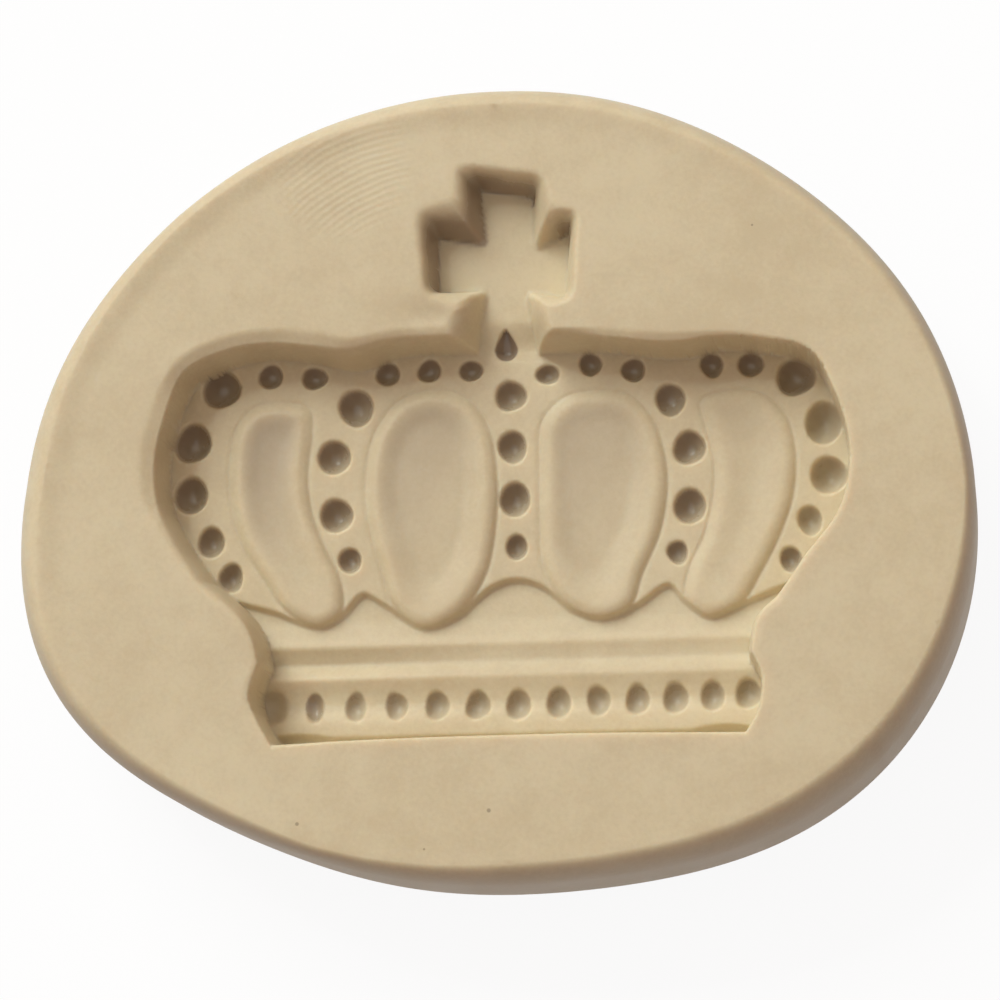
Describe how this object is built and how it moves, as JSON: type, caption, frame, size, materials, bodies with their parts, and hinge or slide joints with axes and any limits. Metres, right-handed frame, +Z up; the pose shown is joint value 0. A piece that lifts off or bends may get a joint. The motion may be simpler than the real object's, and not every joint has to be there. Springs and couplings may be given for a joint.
{
  "type": "silicone mould",
  "caption": "Flat-backed rounded silicone mould with a sunken crown relief for casting: beaded arches, four cushions, a beaded base band and a small cross.",
  "frame": {"origin": "middle of the mould's length and width, on the flat underside", "axes": "+X along the crown's base towards its right end, +Y towards its cross, +Z up out of the sunken face"},
  "size_m": [0.0714, 0.0602, 0.014],
  "materials": {
    "silicone": "satin"
  },
  "bodies": {
    "root": {"mould_body": "silicone"}
  },
  "joints": []
}
